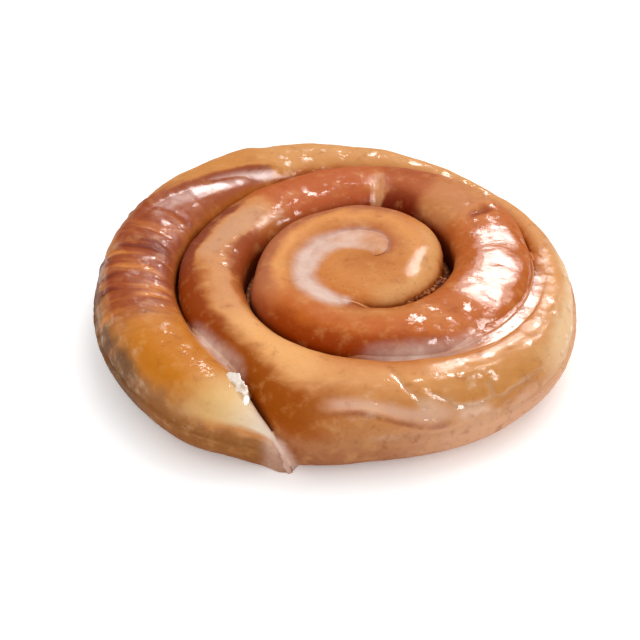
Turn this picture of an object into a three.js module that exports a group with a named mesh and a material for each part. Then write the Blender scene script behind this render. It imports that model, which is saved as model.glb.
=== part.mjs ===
// A glazed cinnamon roll: one long strip of dough wound into a flat coil, with a thin layer of cinnamon
// filling rolled up between its turns. Millimetres, +Z up, the base on z = 0 and the origin at its middle.
import * as THREE from "three";
import { ParametricGeometry } from "three/addons/geometries/ParametricGeometry.js";
import { mergeVertices } from "three/addons/utils/BufferGeometryUtils.js";

// Driving dimensions of the coil
const coilHeight = 21.5; // crest of the middle turns above the base
const rimHeight = 20.0; // crest of the outermost turn
const backDip = 4.2; // how much lower the rim lies at the back right
const foldStep = 1.3; // step of the fold across the rim at the back left
const grooveDepth = 5.0; // from a crest down to where two turns press together
const middleDepth = 2.4; // the same in the middle of the coil, which is flatter
const shoulderDrop = 9.5; // from the rim's crest down to the top of its side wall
const slotWidth = 1.6; // room between two turns for the filling
const footRound = 3.0; // rounding of the strip's lower edges
const tuckHeight = 10.0; // at most this much of the rim's side draws in towards the foot
const sideBulge = 0.7; // how far the rim's side swells past its edges
const domeRoundness = 2.3; // 2 is an ellipse, more is squarer

// Distance of the groove from the pole where it starts, along eight spokes and turn by turn. Its last
// number on the front spoke lies past the roll's side, so there the groove runs out of it.
const grooveRadii = {
  back: [10.0, 25.0, 43.5],
  backLeft: [12.8, 26.0, 44.0],
  left: [16.0, 29.5, 47.0],
  frontLeft: [18.6, 33.5, 49.5],
  front: [17.6, 34.7, 64.0],
  frontRight: [16.6, 38.4],
  right: [17.8, 38.4],
  backRight: [21.5, 41.8],
};
const firstRadii = [0, 5.0]; // the groove's first two spokes, just before the back one

// Distance of the roll's own side from the pole, along the same spokes
const sideRadii = {
  back: 55.4,
  backLeft: 65.0,
  left: 66.6,
  frontLeft: 67.4,
  front: 56.0,
  frontRight: 53.8,
  right: 47.8,
  backRight: 47.6,
};
const frontFlat = 2.6; // how far the side is flattened at the front, around the tail's end
const flatMiddle = 0.432; // the middle of that stretch and half its length, in turns from the back spoke
const flatHalf = 0.052;

// How far the side's foot draws in below it, along the same spokes
const tuckRadii = {
  back: 5.0,
  backLeft: 6.0,
  left: 8.0,
  frontLeft: 9.0,
  front: 7.5,
  frontRight: 10.0,
  right: 13.0,
  backRight: 8.0,
};
const exitRound = 3.0; // rounding of the corner that the groove cuts where it runs out

// Turns are counted from the back spoke, and the coil winds anticlockwise seen from above
const spokesPerTurn = Object.keys(sideRadii).length;
const grooveStart = -firstRadii.length / spokesPerTurn;
const grooveFade = 0.35; // turns over which the groove and the slot reach their full size
const stripStart = grooveStart - 1; // the strip's inner end, one turn before the groove
const stripEnd = 2.447; // the tail
const tailFrom = 2.27; // from here on the tail gets lower
const tailTip = 0.022; // over this last stretch it also closes to a point
const rimFrom = 1.36; // from here on, over a short blend, nothing lies outside the strip
const rimBlend = 0.14;
const dipFrom = 1.58; // the rim's dip round the back, which ends at the fold
const dipLow = 1.86;
const foldAt = 2.09;
const foldLength = 0.018;
const middleTo = 0.4; // up to here the groove has the middle's depth, then it deepens
const middleBlend = 0.22;

// Creases across the outermost turn, on its left
const creaseFrom = 2.1;
const creaseTo = 2.32;
const creaseCount = 13;
const creaseDepth = 0.55;

// The filling
const fillingThickness = 0.9;
const fillingFrom = 0.02;
const fillingTo = 2.36;
const fillingBase = 1.0; // clear of the surface that the roll rests on
const fillingBelowGroove = 1.2;

// Facet sizes
const stationStep = 3.2; // along the strip
const creaseStep = 1.5; // along the strip where it is folded and creased
const fillingStep = 5.0;
const wallPoints = 3;
const domePoints = 4;
const footPoints = 3;

const { lerp, smoothstep, clamp, euclideanModulo } = THREE.MathUtils;

// The smaller of two lengths, with the corner between them rounded
function roundedMin(a, b, round) {
  const near = Math.max(round - Math.abs(a - b), 0) / round;
  return Math.min(a, b) - (near * near * round) / 4;
}

// Values at evenly spaced places as a smooth curve
function curveThrough(values) {
  return new THREE.SplineCurve(values.map((value, place) => new THREE.Vector2(place, value)));
}

// The groove's radii in the order that the coil passes the spokes
const radiiInOrder = [...firstRadii];
for (let turn = 0; turn < grooveRadii.back.length; turn++) {
  for (const radii of Object.values(grooveRadii)) {
    if (turn < radii.length) radiiInOrder.push(radii[turn]);
  }
}
const grooveCurve = curveThrough(radiiInOrder);
const grooveEnd = grooveStart + (radiiInOrder.length - 1) / spokesPerTurn;

// Values on the spokes twice round and a spoke more, read from the middle so that the curve closes smoothly
function curveRound(values) {
  return curveThrough([...values, ...values, values[0]]);
}
const sideCurve = curveRound(Object.values(sideRadii));
const tuckCurve = curveRound(Object.values(tuckRadii));

function grooveRadius(turn) {
  const share = ((turn - grooveStart) * spokesPerTurn) / (radiiInOrder.length - 1);
  return Math.max(0, grooveCurve.getPoint(clamp(share, 0, 1)).y);
}

function roundAt(curve, turn) {
  return curve.getPoint((0.5 + euclideanModulo(turn - 0.5, 1)) / 2).y;
}

function sideRadius(turn) {
  const beside = Math.abs(euclideanModulo(turn, 1) - flatMiddle);
  return roundAt(sideCurve, turn) - frontFlat * (1 - smoothstep(beside, 0, flatHalf));
}

// 0 where the groove starts, 1 once it is fully open
function grooveOpen(turn) {
  return smoothstep(turn, grooveStart, grooveStart + grooveFade);
}

// From the crests down to the groove between them
function grooveDrop(turn) {
  const depth = lerp(middleDepth, grooveDepth, smoothstep(turn, middleTo, middleTo + middleBlend));
  return depth * grooveOpen(turn);
}

// How far the strip's crest lies below its usual height
function dipAt(turn) {
  const down = backDip * smoothstep(turn, dipFrom, dipLow);
  const up = (backDip - foldStep) * smoothstep(turn, dipLow, foldAt - foldLength);
  return down - up - foldStep * smoothstep(turn, foldAt - foldLength, foldAt);
}

// Usual height of the strip's crest, before the dip and the tail
function crestHeight(turn) {
  return lerp(coilHeight, rimHeight, smoothstep(turn, 0.5, 1.6));
}

// Depth of the creases across the strip, uneven along it and fading out at both ends
function creaseAt(turn) {
  const along = clamp((turn - creaseFrom) / (creaseTo - creaseFrom), 0, 1);
  const wave = Math.cos(2 * Math.PI * (creaseCount * along + 0.3 * Math.sin(11 * along)));
  return creaseDepth * Math.sin(Math.PI * along) * (0.5 + 0.5 * wave);
}

// The strip's outline at one place: up the inner side, over the crest, down the outer side to the foot
function stripOutline(turn) {
  const rim = smoothstep(turn, rimFrom, rimFrom + rimBlend);
  const tail = clamp((turn - tailFrom) / (stripEnd - tailFrom), 0, 1);
  const shrink = Math.sqrt(1 - tail ** 3);
  const tip = clamp((turn - stripEnd) / tailTip + 1, 0, 1);
  const side = sideRadius(turn);
  const inner = Math.min(grooveRadius(turn) + (slotWidth / 2) * grooveOpen(turn), side - 0.5);
  const besideNext = grooveRadius(turn + 1) - (slotWidth / 2) * grooveOpen(turn + 1);
  const reach = turn + 1 < grooveEnd ? roundedMin(besideNext, side, exitRound) : side;
  const width = Math.max(reach - inner, 0.5) * Math.sqrt(1 - tip * tip);
  const outer = turn < grooveStart ? Math.max(besideNext, 0) : inner + width;
  const middle = (inner + outer) / 2;
  const dip = dipAt(turn);
  const crest = (crestHeight(turn) - dip) * shrink;
  const innerDrop = Math.max(grooveDrop(turn) - dip, 0.6 * grooveOpen(turn)) * shrink;
  const outerDrop = (lerp(grooveDrop(turn + 1), shoulderDrop, rim) - dip) * shrink;
  const innerFoot = Math.min(footRound, inner / 2, (outer - inner) / 3);
  const footHeight = footRound * shrink;
  const tuck = lerp(footRound, roundAt(tuckCurve, turn), rim);
  const outerFoot = Math.min(tuck, outer / 2, (outer - inner) * 0.55);
  const tuckedHeight = Math.min(tuck, tuckHeight) * shrink;

  const outline = [];
  for (let k = footPoints; k > 0; k--) {
    const bend = (Math.PI / 2) * (k / footPoints);
    outline.push([inner + innerFoot * (1 - Math.cos(bend)), footHeight * (1 - Math.sin(bend))]);
  }
  for (let k = 0; k < wallPoints; k++) {
    outline.push([inner, lerp(footHeight, crest - innerDrop, k / (wallPoints - 1))]);
  }
  for (let k = 1; k < 2 * domePoints; k++) {
    const tilt = (Math.PI / 2) * (k / domePoints - 1);
    const spread = Math.abs(Math.sin(tilt)) ** (2 / domeRoundness);
    const fall = 1 - Math.cos(tilt) ** (2 / domeRoundness);
    const edge = k < domePoints ? inner : outer;
    const drop = k < domePoints ? innerDrop : outerDrop;
    const crease = creaseAt(turn) * Math.sqrt(Math.cos(tilt));
    outline.push([lerp(middle, edge, spread), crest - drop * fall - crease]);
  }
  for (let k = wallPoints - 1; k >= 0; k--) {
    const rise = k / (wallPoints - 1);
    const swell = Math.min(sideBulge, (outer - inner) / 4) * rim * Math.sin(Math.PI * rise);
    outline.push([outer + swell, lerp(tuckedHeight, crest - outerDrop, rise)]);
  }
  for (let k = 1; k <= footPoints; k++) {
    const bend = (Math.PI / 2) * (k / footPoints);
    outline.push([outer - outerFoot * (1 - Math.cos(bend)), tuckedHeight * (1 - Math.sin(bend))]);
  }
  return outline;
}

// The filling's outline at one place inside the slot
function fillingOutline(turn) {
  const atEnd = turn === fillingFrom || turn === fillingTo;
  const half = atEnd ? 0 : fillingThickness / 2;
  const middle = grooveRadius(turn);
  const top = crestHeight(turn) - grooveDepth * grooveOpen(turn) - fillingBelowGroove;
  return [
    [middle - half, fillingBase],
    [middle - half, top],
    [middle + half, top],
    [middle + half, fillingBase],
  ];
}

// Places along the coil, about a step apart at the given radius, both ends included
function stations(from, to, stepAt, radiusAt) {
  const places = [];
  let place = from;
  while (place < to) {
    places.push(place);
    place += stepAt(place) / (2 * Math.PI * Math.max(radiusAt(place), 6));
  }
  places[places.length - 1] = to;
  return places;
}

// A closed skin over outlines that all have the same number of points, with collapsed facets dropped
function skin(places, outlineAt) {
  const outlines = places.map(outlineAt);
  const columns = outlines[0].length;
  const raw = new ParametricGeometry(
    (u, v, target) => {
      const row = Math.round(v * (places.length - 1));
      const [radius, height] = outlines[row][Math.round(u * columns) % columns];
      const angle = Math.PI / 2 + 2 * Math.PI * places[row];
      target.set(radius * Math.cos(angle), radius * Math.sin(angle), height);
    },
    columns,
    places.length - 1,
  );
  raw.deleteAttribute("normal");
  raw.deleteAttribute("uv");
  const merged = mergeVertices(raw, 1e-3);
  const corners = merged.index.array;
  const kept = [];
  for (let i = 0; i < corners.length; i += 3) {
    const [a, b, c] = corners.subarray(i, i + 3);
    if (a !== b && b !== c && c !== a) kept.push(a, b, c);
  }
  merged.setIndex(kept);
  merged.computeVertexNormals();
  return merged;
}

function doughGeometry() {
  const stepAt = (turn) => (turn > foldAt - foldLength && turn < creaseTo ? creaseStep : stationStep);
  const radiusAt = (turn) => Math.min(grooveRadius(turn + 1), sideRadius(turn));
  const beforeGroove = stations(stripStart, grooveStart, stepAt, radiusAt);
  const alongGroove = stations(grooveStart, stripEnd, stepAt, radiusAt);
  return skin([...beforeGroove, ...alongGroove.slice(1)], stripOutline);
}

function fillingGeometry() {
  const places = stations(fillingFrom, fillingTo, () => fillingStep, grooveRadius);
  return skin(places, fillingOutline);
}

function piece(name, geometry, color, roughness) {
  const material = new THREE.MeshStandardMaterial({ color, roughness, metalness: 0 });
  const mesh = new THREE.Mesh(geometry, material);
  mesh.name = name;
  return mesh;
}

// The pole lies off the middle of the base, so the coil is moved until its base is centred on the origin
const coil = new THREE.Group();
coil.add(piece("dough", doughGeometry(), 0xc8813f, 0.35));
coil.add(piece("cinnamon_filling", fillingGeometry(), 0x6b3417, 0.8));
const centre = new THREE.Box3().setFromObject(coil).getCenter(new THREE.Vector3());
coil.position.set(-centre.x, -centre.y, 0);

const roll = new THREE.Group();
roll.add(coil);

export default roll;
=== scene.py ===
# Glazed cinnamon roll: a coiled strip of dough with cinnamon between its turns, icing and glaze on top
import math

import bmesh
import bpy
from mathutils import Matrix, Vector


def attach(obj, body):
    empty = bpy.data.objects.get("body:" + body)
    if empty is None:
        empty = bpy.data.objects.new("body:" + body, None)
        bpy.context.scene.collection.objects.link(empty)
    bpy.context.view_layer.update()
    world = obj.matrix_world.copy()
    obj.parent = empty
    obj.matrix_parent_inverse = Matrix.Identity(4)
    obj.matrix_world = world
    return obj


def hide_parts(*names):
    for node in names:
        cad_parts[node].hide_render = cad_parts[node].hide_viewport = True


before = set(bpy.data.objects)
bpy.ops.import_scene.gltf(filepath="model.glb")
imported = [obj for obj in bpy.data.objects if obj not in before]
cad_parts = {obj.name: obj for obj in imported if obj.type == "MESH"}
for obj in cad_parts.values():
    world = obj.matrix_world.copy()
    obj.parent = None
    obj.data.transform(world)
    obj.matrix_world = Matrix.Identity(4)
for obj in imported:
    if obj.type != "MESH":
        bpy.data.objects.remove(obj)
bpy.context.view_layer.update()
mm = 0.001


class Wire:
    # one output socket of a node; arithmetic on wires adds Math nodes
    def __init__(self, net, socket):
        self.net = net
        self.socket = socket

    def math(self, operation, *values):
        return self.net.wire("ShaderNodeMath", {"operation": operation}, dict(enumerate(values)))

    def __add__(self, other):
        return self.math("ADD", self, other)

    def __radd__(self, other):
        return self.math("ADD", other, self)

    def __sub__(self, other):
        return self.math("SUBTRACT", self, other)

    def __rsub__(self, other):
        return self.math("SUBTRACT", other, self)

    def __mul__(self, other):
        return self.math("MULTIPLY", self, other)

    def __rmul__(self, other):
        return self.math("MULTIPLY", other, self)

    def __truediv__(self, other):
        return self.math("DIVIDE", self, other)

    def __rtruediv__(self, other):
        return self.math("DIVIDE", other, self)

    def __pow__(self, other):
        return self.math("POWER", self, other)

    def __neg__(self):
        return self.math("MULTIPLY", self, -1.0)

    def __abs__(self):
        return self.math("ABSOLUTE", self)

    def sqrt(self):
        return self.math("SQRT", self)

    def sin(self):
        return self.math("SINE", self)

    def cos(self):
        return self.math("COSINE", self)

    def arcsin(self):
        return self.math("ARCSINE", self)

    def least(self, other):
        return self.math("MINIMUM", self, other)

    def most(self, other):
        return self.math("MAXIMUM", self, other)


class Net:
    # a node tree, either of a material or of Geometry Nodes
    def __init__(self, tree):
        self.tree = tree

    def node(self, kind, settings=None, values=None):
        made = self.tree.nodes.new(kind)
        for name, value in (settings or {}).items():
            if name == "stops":
                fillRamp(made.color_ramp, value)
            elif name == "points":
                fillCurve(made.mapping, value)
            else:
                setattr(made, name, value)
        self.feed(made, values or {})
        return made

    def feed(self, made, values):
        for key, value in values.items():
            if isinstance(value, Wire):
                self.tree.links.new(value.socket, made.inputs[key])
            else:
                made.inputs[key].default_value = value

    def wire(self, kind, settings=None, values=None, output=0):
        return Wire(self, self.node(kind, settings, values).outputs[output])

    # 0 below low, 1 above high, smooth between
    def rise(self, value, low, high):
        values = {"Value": value, "From Min": low, "From Max": high}
        return self.wire("ShaderNodeMapRange", {"interpolation_type": "SMOOTHSTEP"}, values)

    # the same with a straight slope
    def share(self, value, low, high):
        return self.wire("ShaderNodeMapRange", {}, {"Value": value, "From Min": low, "From Max": high})

    # 1 at the middle of a span, smoothly 0 at its ends
    def hump(self, value, middle, half):
        return 1 - self.rise(abs(value - middle), 0.0, half)

    # 1 from low to high, fading over the given length at both ends
    def span(self, value, low, high, fade):
        half = fade / 2
        return self.rise(value, low - half, low + half) - self.rise(value, high - half, high + half)

    def mix(self, factor, first, second):
        return self.wire("ShaderNodeMix", {"data_type": "FLOAT"}, {0: factor, 2: first, 3: second})

    def blend(self, factor, first, second):
        return self.wire("ShaderNodeMix", {"data_type": "RGBA"}, {0: factor, 6: first, 7: second}, 2)

    # a smooth curve through values that are evenly spaced from low to high
    def through(self, value, low, high, values):
        top = max(values)
        points = [(i / (len(values) - 1), v / top) for i, v in enumerate(values)]
        place = (value - low) / (high - low)
        return self.wire("ShaderNodeFloatCurve", {"points": points}, {"Value": place}) * top

    def xyz(self, x, y, z):
        return self.wire("ShaderNodeCombineXYZ", {}, {0: x, 1: y, 2: z})

    def split(self, vector):
        made = self.node("ShaderNodeSeparateXYZ", {}, {0: vector})
        return [Wire(self, socket) for socket in made.outputs]

    def noise(self, vector, scale, detail=2.0, roughness=0.5, output=0):
        values = {"Vector": vector, "Scale": scale, "Detail": detail, "Roughness": roughness}
        return self.wire("ShaderNodeTexNoise", {"noise_dimensions": "3D"}, values, output)

    def bump(self, height, strength, distance):
        return self.wire("ShaderNodeBump", {}, {"Height": height, "Strength": strength, "Distance": distance})

    # a socket on the tree's interface for each named size
    def sizes(self, named):
        for name, value in named.items():
            kind = "NodeSocketInt" if isinstance(value, int) else "NodeSocketFloat"
            self.tree.interface.new_socket(name=name, in_out="INPUT", socket_type=kind)
        made = self.tree.nodes.new("NodeGroupInput")
        return {name: Wire(self, made.outputs[name]) for name in named}

    def attribute(self, name):
        return self.wire("GeometryNodeInputNamedAttribute", {"data_type": "FLOAT"}, {"Name": name})

    def store(self, geometry, name, value):
        values = {"Geometry": geometry, "Name": name, "Value": value}
        return self.wire("GeometryNodeStoreNamedAttribute", {"data_type": "FLOAT", "domain": "POINT"}, values)

    # moves points along their normals
    def pushed(self, geometry, distance):
        normal = self.wire("GeometryNodeInputNormal")
        offset = self.wire("ShaderNodeVectorMath", {"operation": "SCALE"}, {0: normal, "Scale": distance})
        return self.wire("GeometryNodeSetPosition", {}, {"Geometry": geometry, "Offset": offset})

    def finish(self, geometry, material):
        realized = self.wire("GeometryNodeRealizeInstances", {}, {"Geometry": geometry})
        final = self.wire("GeometryNodeSetMaterial", {}, {"Geometry": realized, "Material": material})
        self.tree.interface.new_socket(name="Geometry", in_out="OUTPUT", socket_type="NodeSocketGeometry")
        self.node("NodeGroupOutput", {}, {"Geometry": final})


def fillRamp(ramp, stops):
    while len(ramp.elements) < len(stops):
        ramp.elements.new(1.0)
    for element, (place, tone) in zip(ramp.elements, stops):
        element.position = place
        element.color = tone


def fillCurve(mapping, points):
    curve = mapping.curves[0]
    for i, (x, y) in enumerate(points):
        if i < 2:
            curve.points[i].location = (x, y)
        else:
            curve.points.new(x, y)
    mapping.update()


# sRGB shares as the linear values that sockets take, times less to darken them
def colour(red, green, blue, less=1.0):
    linear = [c / 12.92 if c <= 0.04045 else ((c + 0.055) / 1.055) ** 2.4 for c in (red, green, blue)]
    return (*[c * less for c in linear], 1.0)


# A new material with its net of nodes and its shader
def newMaterial(name):
    material = bpy.data.materials.new(name)
    material.use_nodes = True
    return material, Net(material.node_tree), material.node_tree.nodes["Principled BSDF"]


def paint(net, name):
    return net.wire("ShaderNodeAttribute", {"attribute_name": name}, {}, "Fac")


smallestEdge = 0.001 * mm
sealDistance = 0.01 * mm
sharpAngle = math.radians(60)


# Runs a tree on an empty mesh with its named sizes set, and leaves a clean plain mesh
def grow(name, tree, named):
    piece = bpy.data.objects.new(name, bpy.data.meshes.new(name))
    bpy.context.scene.collection.objects.link(piece)
    modifier = piece.modifiers.new(name, "NODES")
    modifier.node_group = tree
    for socket in tree.interface.items_tree:
        if socket.in_out == "INPUT":
            modifier[socket.identifier] = named[socket.name]
    graph = bpy.context.evaluated_depsgraph_get()
    made = bpy.data.meshes.new_from_object(piece.evaluated_get(graph), depsgraph=graph)
    piece.modifiers.clear()
    piece.data = made
    work = bmesh.new()
    work.from_mesh(made)
    bmesh.ops.dissolve_degenerate(work, edges=work.edges, dist=smallestEdge)
    bmesh.ops.recalc_face_normals(work, faces=work.faces)
    work.to_mesh(made)
    work.free()
    made.shade_smooth()
    made.set_sharp_from_angle(angle=sharpAngle)
    print(name, "has", sum(len(p.vertices) - 2 for p in made.polygons), "triangles")
    return piece


# The coil. The groove's distance from its pole and the roll's side are given along eight spokes: back,
# back left, left, front left, front, front right, right, back right. Turns count from the back spoke.
spokes = 8
pole = Vector((9.268, 0.054)) * mm
firstRadii = [0.0, 5.0]
grooveRadii = [
    [10.0, 12.8, 16.0, 18.6, 17.6, 16.6, 17.8, 21.5],
    [25.0, 26.0, 29.5, 33.5, 34.7, 38.4, 38.4, 41.8],
    [43.5, 44.0, 47.0, 49.5, 64.0, 64.0],
]
sideRadii = [55.4, 65.0, 66.6, 67.4, 56.0, 53.8, 47.8, 47.6]
tuckRadii = [5.0, 6.0, 8.0, 9.0, 7.5, 10.0, 13.0, 8.0]
grooveList = [radius * mm for radius in sum(grooveRadii, firstRadii)]
grooveStart = -len(firstRadii) / spokes
grooveEnd = grooveStart + (len(grooveList) - 1) / spokes
sideFrom = 1.25
sideTo = 2.625
sideSpokes = [i % spokes for i in range(round(sideFrom * spokes), round(sideTo * spokes) + 1)]
sideList = [sideRadii[i] * mm for i in sideSpokes]
tuckList = [tuckRadii[i] * mm for i in sideSpokes]

coil = {
    "rows": 1250,
    "columns": 76,
    "coilHeight": 21.5 * mm,
    "rimHeight": 20.0 * mm,
    "backDip": 4.2 * mm,  # how far the rim sinks at the back right
    "foldStep": 1.3 * mm,  # rise of the step at the back left
    "grooveDepth": 5.0 * mm,
    "icedDepth": 2.4 * mm,  # the groove's depth under the icing in the middle
    "shoulderDrop": 9.5 * mm,  # from the rim's crest down to the top of its side
    "slotWidth": 0.5 * mm,
    "gapWidth": 2.4 * mm,  # added to the slot where it gapes
    "footRound": 3.0 * mm,
    "tuckHeight": 10.0 * mm,  # how high the side's tucked-in foot may be
    "sideBulge": 0.7 * mm,
    "domeRoundness": 2.3,
    "exitRound": 3.0 * mm,  # rounding where the groove runs out through the side
    "frontFlat": 2.6 * mm,
    "lumps": 1.5 * mm,  # heights of the relief from here on
    "wrinkles": 0.9 * mm,
    "glazeFolds": 0.48 * mm,
    "rollHeight": 1.0 * mm,
    "ridgeHeight": 0.55 * mm,
    "seamHeight": 0.55 * mm,
    "lipHeight": 0.35 * mm,
    "peakHeight": 0.9 * mm,
    "ringHeight": 0.4 * mm,
    "notches": 0.48 * mm,
    "shoulderCrease": 0.9 * mm,
    "pits": 0.4 * mm,
}

# Places along the strip, in turns
turnFrom = grooveStart - 1
turnTo = 2.447
tailFrom = 2.27
tailTip = 0.03
rimFrom = 1.36  # the strip becomes the roll's rim
rimTo = 1.5
lowerFrom = 0.5  # its crest sinks from the middle coil's height to the rim's
lowerTo = 1.6
dipFrom = 1.58  # the low rim at the back
dipLow = 1.86
foldFrom = 2.072  # the step where the dark roll at the back left begins
foldAt = 2.09
flatAt = 1.432  # flattened side under the tail's end
flatHalf = 0.052
grooveFrom = -0.15
grooveFade = 0.4
icedTo = 0.4  # the shallow, iced groove in the middle
deepFrom = 0.62
gapes = [(0.8, 0.24), (1.24, 0.1)]  # middle and half length of each stretch where the slot gapes
footShare = 0.35  # share of a wall that the rounded foot takes
bulgeShare = 0.8
leastWidth = 0.5 * mm
leastDrop = 0.6 * mm
noLimit = 1.0


def grooveRadius(net, turn):
    return net.through(turn, grooveStart, grooveEnd, grooveList)


def grooveOpen(net, turn):
    return net.rise(turn, grooveFrom, grooveFrom + grooveFade)


# How far the crests stand above the groove; less under the icing in the middle
def grooveDrop(net, size, turn):
    depth = net.mix(net.rise(turn, icedTo, deepFrom), size["icedDepth"], size["grooveDepth"])
    return depth * grooveOpen(net, turn)


# Half the slot between two turns, wider beside the middle coil where the filling shows
def slotHalf(net, size, turn):
    gap = sum(net.hump(turn, *gape) for gape in gapes)
    return (size["slotWidth"] + size["gapWidth"] * gap) * 0.5 * grooveOpen(net, turn)


# Everything that shapes the strip's section at one place along the coil
def sectionAt(net, size, turn):
    nextTurn = turn + 1
    rim = net.rise(turn, rimFrom, rimTo)
    tail = net.share(turn, tailFrom, turnTo)
    shrink = (1 - tail**5).most(0.0).sqrt()
    tip = net.share(turn, turnTo - tailTip, turnTo)
    flat = net.hump(turn, flatAt, flatHalf) + net.hump(turn, flatAt + 1, flatHalf)
    side = net.through(turn, sideFrom, sideTo, sideList) - size["frontFlat"] * flat
    inner = grooveRadius(net, turn) + slotHalf(net, size, turn)
    inner = inner.least(net.mix(rim, noLimit, side - leastWidth))
    beside = grooveRadius(net, nextTurn) - slotHalf(net, size, nextTurn)
    near = (1 - abs(beside - side) / size["exitRound"]).most(0.0)
    rounded = beside.least(side) - near * near * size["exitRound"] / 4
    past = net.wire("ShaderNodeMath", {"operation": "GREATER_THAN"}, {0: nextTurn, 1: grooveEnd})
    reach = net.mix(past, net.mix(rim, beside, rounded), side)
    width = (reach - inner).most(0.0) * (1 - tip * tip).most(0.0).sqrt()
    outer = inner + width
    dip = size["backDip"] * net.rise(turn, dipFrom, dipLow)
    dip = dip - (size["backDip"] - size["foldStep"]) * net.rise(turn, dipLow, foldFrom)
    dip = dip - size["foldStep"] * net.rise(turn, foldFrom, foldAt)
    usual = net.mix(net.rise(turn, lowerFrom, lowerTo), size["coilHeight"], size["rimHeight"])
    innerDrop = (grooveDrop(net, size, turn) - dip).most(leastDrop * grooveOpen(net, turn))
    outerDrop = net.mix(rim, grooveDrop(net, size, nextTurn), size["shoulderDrop"]) - dip
    foot = net.mix(rim, size["footRound"], net.through(turn, sideFrom, sideTo, tuckList))
    return {
        "inner": inner,
        "outer": outer,
        "middle": (inner + outer) * 0.5,
        "crest": (usual - dip) * shrink,
        "innerDrop": innerDrop * shrink,
        "outerDrop": outerDrop * shrink,
        "innerFoot": size["footRound"].least(inner * 0.5).least(width / 3),
        "outerFoot": foot.least(outer * 0.5).least(width * 0.75),
        "innerFootHeight": size["footRound"] * shrink,
        "outerFootHeight": foot.least(size["tuckHeight"]) * shrink,
        "bulge": size["sideBulge"].least(width * 0.25) * rim,
    }


# The strip's outline as distance from the pole and height; across counts 0 inner foot, 1 top of the inner
# wall, 2 crest, 3 top of the outer wall, 4 outer foot, 5 back at the inner foot
def outlineAt(net, size, s, across):
    wallIn, domeIn, domeOut, wallOut, base = [net.share(across, i, i + 1.0) for i in range(5)]
    power = 2 / size["domeRoundness"]
    quarter = math.pi / 2
    riseIn = net.share(wallIn, footShare, 1.0)
    footIn = net.share(wallIn, 0.0, footShare) * quarter
    riseOut = net.share(wallOut, 0.0, 1 - footShare)
    footOut = net.share(wallOut, 1 - footShare, 1.0) * quarter
    innerTop = s["crest"] - s["innerDrop"]
    outerTop = s["crest"] - s["outerDrop"]
    radius = s["inner"] + s["innerFoot"] * (1 - footIn.sin())
    radius = radius + (s["middle"] - s["inner"]) * (1 - ((1 - domeIn) * quarter).sin() ** power)
    radius = radius + (s["outer"] - s["middle"]) * (domeOut * quarter).sin() ** power
    radius = radius + s["bulge"] * (net.share(wallOut, 0.0, bulgeShare) * math.pi).sin()
    radius = radius - s["outerFoot"] * (1 - footOut.cos())
    radius = radius + (s["inner"] + s["innerFoot"] - s["outer"] + s["outerFoot"]) * base
    height = s["innerFootHeight"] * (1 - footIn.cos()) + (innerTop - s["innerFootHeight"]) * riseIn
    height = height + s["innerDrop"] * ((1 - domeIn) * quarter).cos() ** power
    height = height - s["outerDrop"] * (1 - (domeOut * quarter).cos() ** power)
    height = height - (outerTop - s["outerFootHeight"]) * riseOut - s["outerFootHeight"] * footOut.sin()
    return radius, height


# Turns count from the back, a quarter turn on from the x axis
def bearing(turn):
    return (turn + 0.25) * math.tau


def placed(net, turn, radius, height):
    angle = bearing(turn)
    return net.xyz(pole.x + radius * angle.cos(), pole.y + radius * angle.sin(), height)


# A new tree with its named sizes, that starts from a flat sheet of rows and columns; along and around are a
# point's place on the sheet from 0 to 1
def sheetTree(name, named):
    net = Net(bpy.data.node_groups.new(name, "GeometryNodeTree"))
    size = net.sizes(named)
    values = {"Size X": 1.0, "Size Y": 1.0, "Vertices X": size["rows"], "Vertices Y": size["columns"]}
    grid = net.wire("GeometryNodeMeshGrid", {}, values)
    along, around = net.split(net.wire("GeometryNodeInputPosition"))[:2]
    return net, size, grid, along + 0.5, around + 0.5


# The place at a share of the way between two named sizes, such as poolFrom and poolTo
def between(size, name, share):
    start = size[name + "From"]
    return start + (size[name + "To"] - start) * share


# Keeps marks with the sheet's points, bends it into a skin by moving them, and closes its seam and ends
def closed(net, grid, marks, position):
    shape = grid
    for name, value in marks.items():
        shape = net.store(shape, name, value)
    moved = net.wire("GeometryNodeSetPosition", {}, {"Geometry": shape, "Position": position})
    return net.wire("GeometryNodeMergeByDistance", {}, {"Geometry": moved, "Distance": sealDistance})


# Stretches of the strip with something of their own: from and to along it, from and to across it, and how
# softly they end along and across
zones = {
    "leftFolds": ((2.165, 2.31), (1.35, 3.0), (0.05, 0.5)),
    "glazeInside": ((0.56, 0.85), (1.45, 2.75), (0.1, 0.5)),  # thick glaze that has set in folds
    "glazeOutside": ((1.52, 1.8), (2.1, 2.95), (0.1, 0.2)),
    "notches": ((1.185, 1.265), (1.15, 1.75), (0.03, 0.3)),
    "ring": ((0.988, 0.999), (1.2, 2.0), (0.006, 0.3)),
    "pouredNear": ((0.57, 0.78), (2.4, 3.3), (0.04, 0.1)),  # the two banks of the pool on the right
    "pouredFar": ((1.57, 1.78), (0.7, 2.1), (0.04, 0.1)),
    # on the left the pale smear is partly thin glaze and partly painted glints
    "leftSmearAndGlint": ((2.16, 2.42), (2.35, 3.5), (0.06, 0.3)),  # thinly smeared glaze
    "frontSmear": ((1.48, 1.85), (2.1, 3.1), (0.06, 0.4)),
}

# The crease between the dark roll at the back left and its tan flank: it slants outwards along the strip
rollCrease = {"from": 2.083, "to": 2.19, "fade": 0.03, "across": 1.62, "slant": 5.9}

# The fold along the front shoulder, which steps down from one level across the strip to another
frontFold = {
    "from": 1.468,
    "to": 1.548,
    "fade": 0.02,
    "across": 2.56,
    "stepFrom": 1.485,
    "stepTo": 1.54,
    "step": 0.33,
}

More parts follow.
